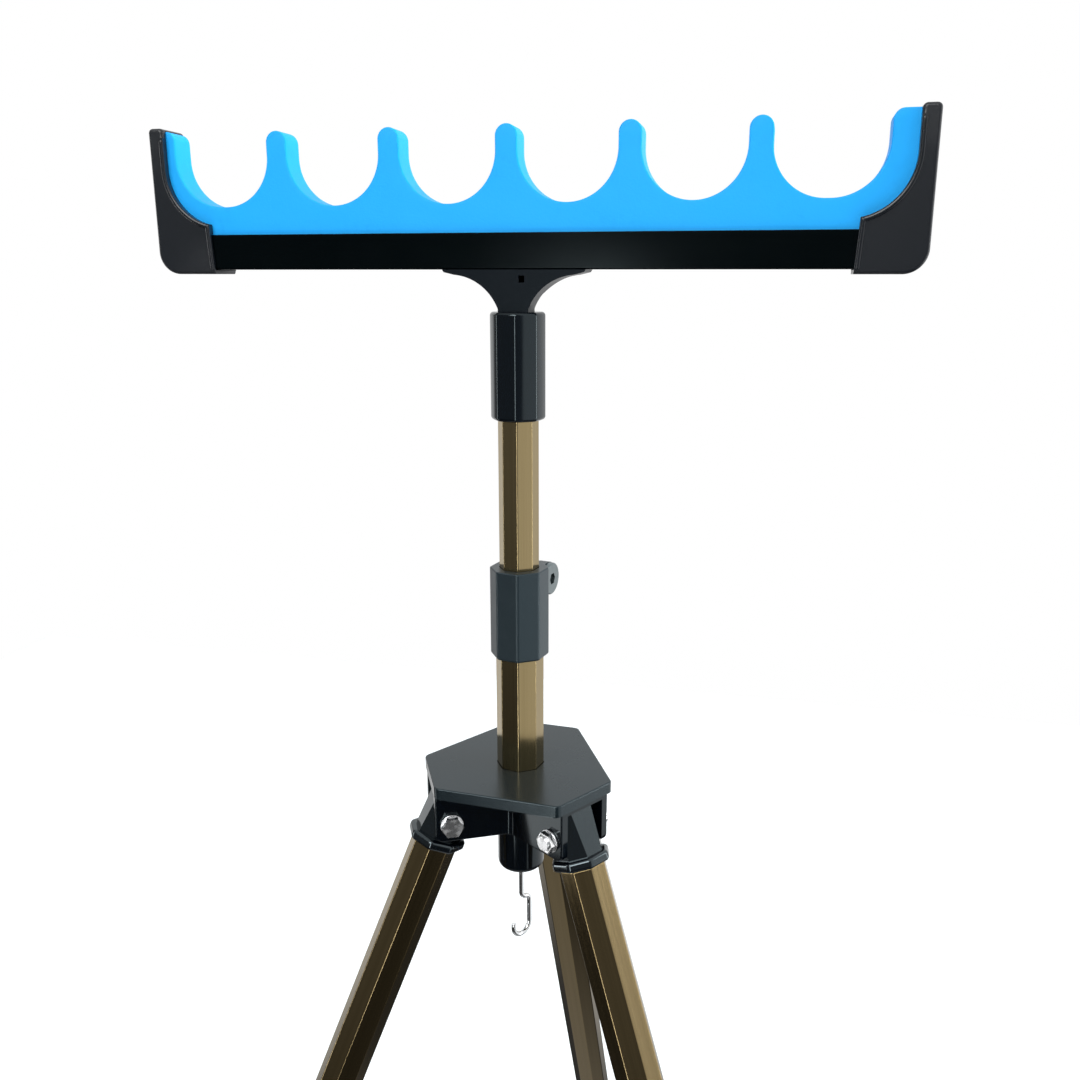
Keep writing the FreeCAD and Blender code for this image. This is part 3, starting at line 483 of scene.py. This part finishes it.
CAP = Finish("cap_charcoal_satin", (0.007, 0.009, 0.0125), 0.28, dust_amount=0.012, spread=0.12,
             grain=Grain.MOULDED, grain_scale=1100.0, grain_height=0.00001, edge=0.4)
BEAD = Finish("cap_bead_gloss", (0.006, 0.008, 0.011), 0.24, dust_amount=0.01)
GUIDE = Finish("guide_nylon", (0.02, 0.02, 0.021), 0.5, grain=Grain.MOULDED)
RUBBER = Finish("foot_rubber", (0.011, 0.011, 0.012), 0.6, dust=(0.3, 0.28, 0.25), dust_amount=0.2,
                grain=Grain.MOULDED, grain_scale=800.0, grain_height=0.00008)
FOAM = Finish("foam_azure", (0.008, 0.41, 0.97), 0.5, dust=(0.004, 0.34, 0.9), dust_amount=0.7,
              spread=0.08, smear_scale=28.0, grain=Grain.CELLS, grain_scale=900.0,
              grain_height=0.00005, specular=0.25)
MAST_BRONZE = DrawnTube("mast_bronze", (0.29, 0.225, 0.113), 0.15, metallic=1.0, spread=0.04,
                        edge=1.1)
LEG_BRONZE = DrawnTube("leg_bronze", (0.215, 0.163, 0.08), 0.15, metallic=1.0, spread=0.04,
                       edge=1.1, light=(0.255, 0.195, 0.1))


@dataclass
class PackedParts:
    """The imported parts, with soft edges for the light and a finish each, sizes in millimetres."""

    frame: dict
    effects: Effects
    split: float = math.radians(32.0)
    weld: float = 0.005
    segments: int = 2
    level: int = 100

    def smooth(self, node: bpy.types.Object, edge: float) -> None:
        """Join the loose triangles, round the sharp edges and level the flat faces' normals.

        Args:
            node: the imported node.
            edge: width of the rounding in millimetres.
        """
        faces = node.data.polygons
        faces.foreach_set("use_smooth", np.ones(len(faces), dtype=bool))
        weld = node.modifiers.new("weld", "WELD")
        weld.merge_threshold = self.weld * MILLIMETRE
        edges = node.modifiers.new("edges", "BEVEL")
        edges.limit_method = "ANGLE"
        edges.angle_limit = self.split
        edges.width = edge * MILLIMETRE
        edges.segments = self.segments
        level = node.modifiers.new("level", "WEIGHTED_NORMAL")
        level.weight = self.level

    def dress(self, names: list[str], finish: Finish) -> None:
        """Give nodes one finish.

        Args:
            names: the nodes.
            finish: their finish.
        """
        material = finish.build(self.effects)
        for name in names:
            node = self.frame["nodes"][name]
            node.data.materials.clear()
            node.data.materials.append(material)
            self.smooth(node, finish.edge)
            LOG.info("%s wears %s", name, finish.name)

    def build(self) -> None:
        """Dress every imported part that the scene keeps."""
        self.dress(["hub_plate"], PLATE)
        self.dress(["hub_spider"], CASTING)
        self.dress(each_leg("head"), LEG_HEAD)
        self.dress(["hub_screws", "hinge_bolts", "hinge_washers", "hinge_nuts", "rail_screws",
                    "swivel_washer", "swivel_nut"], ZINC)
        self.dress(["mast_clamp_bolt", *each_leg("clamp_bolt")], DULL_STEEL)
        self.dress(["ballast_hook", "hook_nut"], WIRE)
        self.dress(["mast_collar", "mast_wing_nut", *each_leg("collar", "wing_nut")], CLAMP)
        self.dress(["head_socket"], SOCKET)
        self.dress(["head_bracket"], BRACKET)
        self.dress(["rest_channel"], CHANNEL)
        self.dress(["end_cap_left", "end_cap_right"], CAP)
        self.dress(["mast_guide_plug", *each_leg("guide_plug")], GUIDE)
        self.dress(each_leg("foot"), RUBBER)
        self.dress(["mast_lower_tube", "mast_upper_tube"], MAST_BRONZE)
        for leg in Leg:
            bronze = replace(LEG_BRONZE, name=leg.prefix + "bronze",
                             heading=math.radians(leg.value), lean=SPLAY)
            self.dress([leg.prefix + "upper_tube", leg.prefix + "lower_tube"], bronze)


def even_points(corners: np.ndarray, spacing: float) -> np.ndarray:
    """Points on a line at one spacing: its length is summed up, and read back at even steps.

    Args:
        corners: the line's own points (x, z), some of them perhaps twice.
        spacing: the step from one point to the next.

    Returns:
        The even points (x, z).
    """
    step = np.hypot(*np.diff(corners, axis=0).T)
    along = np.concatenate([[0.0], np.cumsum(step)])
    keep = np.concatenate([[True], step > SAME_POINT])
    even = np.linspace(0.0, along[-1], int(along[-1] / spacing))
    return np.stack([np.interp(even, along[keep], axis[keep]) for axis in corners.T], axis=1)


def across(line: np.ndarray) -> np.ndarray:
    """Unit vectors across a line: its direction at each point, turned left by a quarter.

    Args:
        line: the line's points (x, z).

    Returns:
        One vector (x, z) for each point.
    """
    tangent = np.gradient(line, axis=0)
    tangent /= np.hypot(tangent[:, 0], tangent[:, 1])[:, None]
    return np.stack([-tangent[:, 1], tangent[:, 0]], axis=1)


def grid_mesh(name: str, grids: list[Grid]) -> bpy.types.Mesh:
    """Mesh of grids whose rows close into rings, with a face over each first and last ring.

    Args:
        name: the mesh's name.
        grids: for each grid its points, row by row, the number of rows and the points in a row.

    Returns:
        The mesh.
    """
    faces, start = [], 0
    for points, rows, columns in grids:
        row, column = np.meshgrid(np.arange(rows), np.arange(columns - 1), indexing="ij")
        after = (row + 1) % rows
        near, far = start + row * columns + column, start + after * columns + column
        faces += np.stack([near, near + 1, far + 1, far], axis=-1).reshape(-1, 4).tolist()
        ring = start + np.arange(rows) * columns
        faces += [ring.tolist(), (ring[::-1] + columns - 1).tolist()]
        start += rows * columns
    mesh = bpy.data.meshes.new(name)
    mesh.from_pydata(np.concatenate([points for points, _, _ in grids]).tolist(), [], faces)
    mesh.polygons.foreach_set("use_smooth", np.ones(len(mesh.polygons), dtype=bool))
    return mesh


@dataclass
class FoamRest:
    """Foam rest with six notches: a slab with soft rims along the notches, sizes in millimetres."""

    effects: Effects
    count: int = 6
    knee: float = 168.8
    curve: float = 31.3
    curve_out: float = 160.6
    curve_high: float = 51.7
    end: float = 191.9
    low: float = 1.9
    top: float = 70.5
    corner: float = 5.0
    pitch: float = 61.6
    shift: float = -3.5
    notch: float = 25.1
    notch_high: float = 57.3
    end_flat: float = 2.2
    shoulder: float = 63.7
    half: float = 7.6
    rim: float = 0.8
    spacing: float = 0.8
    creep: float = 0.01
    wave: float = 0.04
    wave_start: float = 1.3
    wave_long: float = 0.21
    wave_slant: Span = (0.09, 0.33)
    arc_points: int = 90
    wall_rows: int = 14
    rim_rows: int = 6
    top_rows: int = 8

    def arc(self, centre: Span, radius: float, start: float, end: float) -> np.ndarray:
        """Points on an arc about a centre, from one angle to another in degrees."""
        angle = np.radians(np.linspace(start, end, self.arc_points))
        return centre + radius * np.stack([np.cos(angle), np.sin(angle)], axis=1)

    def outline(self) -> np.ndarray:
        """Upper edge: the end wall, its corner, notches and round posts, the other end.

        The corners and arcs are joined by straight runs and sampled at one spacing.

        Returns:
            Points (x, z) above the channel's underside.
        """
        post = self.pitch / 2 - self.notch
        centres = self.shift + self.pitch * (np.arange(self.count) - (self.count - 1) / 2)
        first = centres[0] - self.notch - self.end_flat
        last = centres[-1] + self.notch + self.end_flat
        pieces = [np.array([[-self.end, self.curve_high], [-self.end, self.top]]),
                  self.arc((first - self.corner, self.top - self.corner), self.corner, 90, 0),
                  self.arc((first + self.notch, self.notch_high), self.notch, 180, 270)]
        for centre in centres[:-1]:
            pieces += [self.arc((centre, self.notch_high), self.notch, 270, 360),
                       self.arc((centre + self.pitch / 2, self.shoulder), post, 180, 0),
                       self.arc((centre + self.pitch, self.notch_high), self.notch, 180, 270)]
        pieces += [self.arc((last - self.notch, self.notch_high), self.notch, 270, 360),
                   self.arc((last + self.corner, self.top - self.corner), self.corner, 180, 90),
                   np.array([[self.end, self.top], [self.end, self.curve_high]])]
        return even_points(np.concatenate(pieces), self.spacing)

    def underside(self, x: np.ndarray) -> np.ndarray:
        """Height of the lower edge: flat in the channel, then the end caps' curve.

        The curve is its centre's height less the root of the radius squared minus the distance
        from its centre squared.

        Args:
            x: distances from the middle.

        Returns:
            The heights.
        """
        aside = np.clip(np.abs(x) - self.curve_out, 0.0, self.curve)
        curved = self.curve_high - np.sqrt(self.curve ** 2 - aside ** 2)
        return np.where(np.abs(x) < self.knee, self.low, curved)

    def sway(self, grid: np.ndarray) -> np.ndarray:
        """Slow wave of the faces, as on foam cut with a warm blade: the sum of two sines.

        One runs along the rest, the other slants up across it.

        Args:
            grid: the points.

        Returns:
            How far each point moves outwards.
        """
        along, up = self.wave_slant
        sines = (np.sin(grid[..., 0] * self.wave_long + self.wave_start)
                 + np.sin(grid[..., 2] * up + grid[..., 0] * along))
        return self.wave * sines

    def surface(self, base: float) -> Grid:
        """The slab: each outline point carries a section up the front, over and down the back.

        A wall goes straight from its foot to the outline moved inwards, and a rim from there by
        a quarter circle to the outline itself. The back is the front mirrored.

        Args:
            base: height of the channel's underside.

        Returns:
            The points in metres and the grid's two counts.
        """
        line = self.outline()
        inner = line - across(line) * self.rim
        creep = self.creep * np.linspace(-1.0, 1.0, len(line))
        inner[:, 0] = np.maximum.accumulate(inner[:, 0]) + creep
        low = np.minimum(self.underside(inner[:, 0]), inner[:, 1] - self.creep)
        foot = np.stack([inner[:, 0], low], axis=1)
        climb = np.linspace(0.0, 1.0, self.wall_rows)
        turn = np.radians(np.linspace(0.0, 90.0, self.rim_rows))[1:]
        flat = self.half - self.rim
        face = [(foot * (1 - share) + inner * share, self.half) for share in climb]
        face += [(inner + (line - inner) * math.sin(angle), flat + self.rim * math.cos(angle))
                 for angle in turn]
        top = [(line, depth) for depth in np.linspace(-flat, flat, self.top_rows)[1:-1]]
        rows = [(row, -depth) for row, depth in face] + top + face[::-1]
        grid = np.stack([np.column_stack([row[:, 0], np.full(len(line), depth), row[:, 1]])
                         for row, depth in rows])
        grid[..., 1] += self.sway(grid) * np.sign(grid[..., 1])
        grid[..., 2] += base
        return grid.reshape(-1, 3) * MILLIMETRE, grid.shape[0], grid.shape[1]

    def build(self) -> bpy.types.Object:
        """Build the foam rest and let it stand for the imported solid.

        Returns:
            The piece.
        """
        low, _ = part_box("rest_channel")
        mesh = grid_mesh("foam_rest_soft", [self.surface(low.z / MILLIMETRE)])
        mesh.materials.append(FOAM.build(self.effects))
        piece = bpy.data.objects.new("foam_rest_soft", mesh)
        bpy.context.scene.collection.objects.link(piece)
        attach(piece, "head")
        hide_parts("foam_rest")
        LOG.info("%s stands for foam_rest", piece.name)
        return piece


@dataclass
class CapBeads:
    """Rounded beads along the inner edge of both end caps, front and back, sizes in millimetres."""

    effects: Effects
    inner: float = 189.6
    top: float = 66.5
    curve: float = 29.0
    curve_out: float = 160.6
    curve_high: float = 51.7
    knee: float = 166.5
    foot: float = 165.0
    bottom: float = -0.4
    half_width: float = 1.3
    face: float = 11.15
    rise: float = 0.55
    sunk: float = 0.3
    spacing: float = 0.6
    taper: float = 110.0
    tip: float = 0.05
    bend_points: int = 60
    ring_points: int = 16

    def path(self) -> np.ndarray:
        """Middle line of a bead, from the top down the wall, round the curve and down to the foot.

        Returns:
            Points (x, z) above the channel's underside at one spacing.
        """
        last = -math.acos((self.knee - self.curve_out) / self.curve)
        angle = np.linspace(0.0, last, self.bend_points)
        bend = np.stack([self.curve_out + self.curve * np.cos(angle),
                         self.curve_high + self.curve * np.sin(angle)], axis=1)
        corners = np.concatenate([[[self.inner, self.top]], bend, [[self.foot, self.bottom]]])
        line = even_points(corners, self.spacing)
        return line + across(line) * self.half_width

    def surface(self, base: float, side: int, face: int) -> Grid:
        """One bead: a flat ellipse carried along the middle line, tapered shut at both ends.

        Its size goes with the root of the distance from the nearer end, as far as the taper.

        Args:
            base: height of the channel's underside.
            side: -1 for the left cap, 1 for the right.
            face: -1 for the front, 1 for the back.

        Returns:
            The points in metres and the grid's two counts.
        """
        line = self.path()
        turn = np.linspace(0.0, 2 * math.pi, self.ring_points + 1)[:-1] * side * face
        share = np.linspace(0.0, 1.0, len(line))
        swell = np.sqrt(np.clip(np.minimum(share, 1 - share) * self.taper, self.tip, 1.0))
        out = (self.half_width * np.cos(turn))[:, None] * swell
        lift = (self.sunk + self.rise) * np.sin(turn)[:, None] * swell - self.sunk
        flat = line[None] + across(line)[None] * out[..., None]
        points = np.stack([flat[..., 0] * side, face * (self.face + lift), flat[..., 1] + base],
                          axis=-1)
        return points.reshape(-1, 3) * MILLIMETRE, len(turn), len(line)

    def build(self) -> list[bpy.types.Object]:
        """Build both caps' beads.

        Returns:
            The pieces, left and right.
        """
        low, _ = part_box("rest_channel")
        material = BEAD.build(self.effects)
        pieces = []
        for side, name in ((-1, "cap_bead_left"), (1, "cap_bead_right")):
            grids = [self.surface(low.z / MILLIMETRE, side, face) for face in (-1, 1)]
            piece = bpy.data.objects.new(name, grid_mesh(name, grids))
            piece.data.materials.append(material)
            bpy.context.scene.collection.objects.link(piece)
            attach(piece, "head")
            LOG.info("%s lies on the cap's edge", name)
            pieces.append(piece)
        return pieces


@dataclass(frozen=True)
class SoftBox:
    """One rectangular lamp: its place, the point that it faces and its size, all in metres."""

    name: str
    place: Place
    aim: Place
    size: Span
    watts: float
    lights: bool = True
    mirrored: bool = True

    def hang(self) -> bpy.types.Object:
        """Hang the lamp.

        Returns:
            The lamp.
        """
        data = bpy.data.lights.new(self.name, "AREA")
        data.shape = "RECTANGLE"
        data.size, data.size_y = self.size
        data.energy = self.watts
        lamp = bpy.data.objects.new(self.name, data)
        lamp.location = self.place
        facing = Vector(self.aim) - Vector(self.place)
        lamp.rotation_euler = facing.to_track_quat("-Z", "Y").to_euler()
        lamp.visible_camera = False
        lamp.visible_diffuse = self.lights
        lamp.visible_glossy = self.mirrored
        bpy.context.scene.collection.objects.link(lamp)
        return lamp


@dataclass(frozen=True)
class Strip:
    """One upright strip that faces the mast and only draws highlights along rounded edges.

    The azimuth is its direction from the mast in degrees, the level its brightness, where the
    white background is 1.
    """

    name: str
    azimuth: float
    away: float
    high: float
    size: Span
    level: float

    def hang(self) -> bpy.types.Object:
        """Hang the strip; its watts are the level times pi times its area.

        Returns:
            The lamp.
        """
        angle = math.radians(self.azimuth)
        place = (self.away * math.cos(angle), self.away * math.sin(angle), self.high)
        watts = self.level * math.pi * self.size[0] * self.size[1]
        box = SoftBox(self.name, place, (0.0, 0.0, self.high), self.size, watts, lights=False)
        return box.hang()


REST_MIDDLE = (0.0, 0.0, 1.05)
LAMPS = (
    SoftBox("right_box", (2.6, 0.4, 1.8), REST_MIDDLE, (2.4, 2.2), 95.0, mirrored=False),
    SoftBox("front_box", (-0.5, -2.4, 2.6), REST_MIDDLE, (2.0, 1.4), 58.0),
    Strip("front_strip", -99.0, 1.3, 0.6, (0.16, 1.0), 7.0),
    Strip("low_strip", -107.0, 1.3, 0.15, (0.1, 0.34), 4.0),
    Strip("wall_strip", -165.0, 0.9, 0.3, (0.3, 0.2), 1.6),
    Strip("right_strip", 12.0, 1.8, 0.95, (0.2, 1.7), 7.0),
    Strip("left_strip", -172.0, 1.8, 0.9, (0.2, 1.7), 6.0),
)


@dataclass
class Studio:
    """Plain pale floor, soft light and the photograph's camera.

    The room's spans are read upwards along Z, from -1 straight below to 1 straight above, but
    for the window's fade, which is read along the window's direction.
    """

    focal_px: float = 1015.6
    centre_px: Span = (544.8, 536.1)
    frame_px: float = 1080.0
    sensor: float = 36.0
    nearest: float = 0.02
    place: Place = (0.1349, -0.5211, 1.0744)
    pitch: float = 14.524
    yaw: float = 13.014
    floor_size: float = 4.0
    floor_grey: float = 0.9
    floor_roughness: float = 0.9
    floor_glow: float = 0.25
    sky: Colour = (0.84, 0.95, 1.0)
    window: float = math.radians(51.0)
    window_fade: Span = (-0.16, -0.04)
    window_foot: Span = (-0.75, -0.5)
    above: Span = (0.45, 0.8)
    above_level: float = 0.8
    below: Span = (-0.8, -0.95)
    below_level: float = 0.4
    dusk: Span = (-0.5, -0.15)
    dusk_levels: Span = (0.05, 0.17)

    def set_camera(self) -> None:
        """Place the camera where the photograph was taken from."""
        data = bpy.data.cameras.new("photo_camera")
        data.sensor_width = self.sensor
        data.lens = self.sensor * self.focal_px / self.frame_px
        data.shift_x = (self.frame_px / 2 - self.centre_px[0]) / self.frame_px
        data.shift_y = (self.centre_px[1] - self.frame_px / 2) / self.frame_px
        data.clip_start = self.nearest
        camera = bpy.data.objects.new("photo_camera", data)
        camera.location = self.place
        camera.rotation_euler = (math.radians(90.0 - self.pitch), 0.0, math.radians(self.yaw))
        bpy.context.scene.collection.objects.link(camera)
        bpy.context.scene.camera = camera

    def seen_rays(self, wiring: Wiring) -> tuple[bpy.types.NodeSocket, bpy.types.NodeSocket]:
        """Find the rays that show the background: the camera's, and by gloss or through glass.

        Args:
            wiring: the world's or a material's wiring.

        Returns:
            The sockets of the camera's rays alone and of all three kinds.
        """
        rays = wiring.node("ShaderNodeLightPath").outputs
        bent = wiring.combine("MAXIMUM", rays["Is Glossy Ray"], rays["Is Transmission Ray"])
        return rays["Is Camera Ray"], wiring.combine("MAXIMUM", bent, rays["Is Camera Ray"])

    def room_level(self, wiring: Wiring) -> bpy.types.NodeSocket:
        """Brightness of the room by direction.

        The half round the window is bright down to well below the horizon, straight above is
        bright, the ground straight below half so, and the rest fades downwards from dim to dark.
        The brightest of these counts.

        Args:
            wiring: the world's wiring.

        Returns:
            The socket of the level.
        """
        direction = wiring.node("ShaderNodeTexCoord").outputs["Generated"]
        split = wiring.node("ShaderNodeSeparateXYZ")
        side = wiring.node("ShaderNodeVectorMath", operation="DOT_PRODUCT")
        side.inputs[1].default_value = (math.cos(self.window), math.sin(self.window), 0.0)
        wiring.link(direction, split.inputs[0])
        wiring.link(direction, side.inputs[0])
        height, soft = split.outputs["Z"], "SMOOTHSTEP"
        near_window = wiring.ramp(side.outputs["Value"], self.window_fade, step=soft)
        level = wiring.combine("MULTIPLY", near_window,
                               wiring.ramp(height, self.window_foot, step=soft))
        for span, levels in ((self.above, (0.0, self.above_level)),
                             (self.below, (0.0, self.below_level)),
                             (self.dusk, self.dusk_levels)):
            level = wiring.combine("MAXIMUM", level, wiring.ramp(height, span, levels, soft))
        return level

    def set_world(self) -> None:
        """White for the camera, the room for gloss, and its cooler light for the rest."""
        world = bpy.data.worlds.new("studio")
        bpy.context.scene.world = world
        world.use_nodes = True
        world.node_tree.nodes.clear()
        wiring = Wiring(world.node_tree)
        output = wiring.node("ShaderNodeOutputWorld")
        seen = wiring.node("ShaderNodeBackground", Color=(1.0, 1.0, 1.0, 1.0))
        light = wiring.node("ShaderNodeBackground", Color=rgba(self.sky))
        choose = wiring.node("ShaderNodeMixShader")
        camera, shown = self.seen_rays(wiring)
        level = self.room_level(wiring)
        wiring.link(level, light.inputs["Strength"])
        wiring.link(wiring.combine("MAXIMUM", level, camera), seen.inputs["Strength"])
        wiring.link(shown, choose.inputs[0])
        wiring.link(light.outputs[0], choose.inputs[1])
        wiring.link(seen.outputs[0], choose.inputs[2])
        wiring.link(choose.outputs[0], output.inputs["Surface"])

    def set_floor(self) -> None:
        """Pale floor, white but for the object's shadow; gloss shows the room below instead."""
        half = self.floor_size / 2
        mesh = bpy.data.meshes.new("studio_floor")
        mesh.from_pydata([(-half, -half, 0), (half, -half, 0), (half, half, 0), (-half, half, 0)],
                         [], [(0, 1, 2, 3)])
        floor = bpy.data.objects.new("studio_floor", mesh)
        material = bpy.data.materials.new("studio_floor")
        material.use_nodes = True
        wiring = Wiring(material.node_tree)
        principled = material.node_tree.nodes["Principled BSDF"]
        principled.inputs["Base Color"].default_value = rgba((self.floor_grey,) * 3)
        principled.inputs["Roughness"].default_value = self.floor_roughness
        principled.inputs["Emission Color"].default_value = (1.0, 1.0, 1.0, 1.0)
        _, shown = self.seen_rays(wiring)
        glow = wiring.combine("MULTIPLY", shown, self.floor_glow)
        wiring.link(glow, principled.inputs["Emission Strength"])
        mesh.materials.append(material)
        bpy.context.scene.collection.objects.link(floor)
        floor.visible_glossy = False

    def build(self) -> None:
        """Set the camera, the world, the floor and the lamps."""
        bpy.context.scene.view_settings.view_transform = "Standard"
        self.set_camera()
        self.set_world()
        self.set_floor()
        for lamp in LAMPS:
            lamp.hang()
            LOG.info("%s hangs", lamp.name)


def main() -> None:
    """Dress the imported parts, build the soft rest and the beads, and set the studio."""
    logging.basicConfig(level=logging.INFO, format="%(message)s")
    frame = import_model()
    effects = Effects()
    PackedParts(frame, effects).build()
    FoamRest(effects).build()
    CapBeads(effects).build()
    Studio().build()


if __name__ == "__main__":
    main()
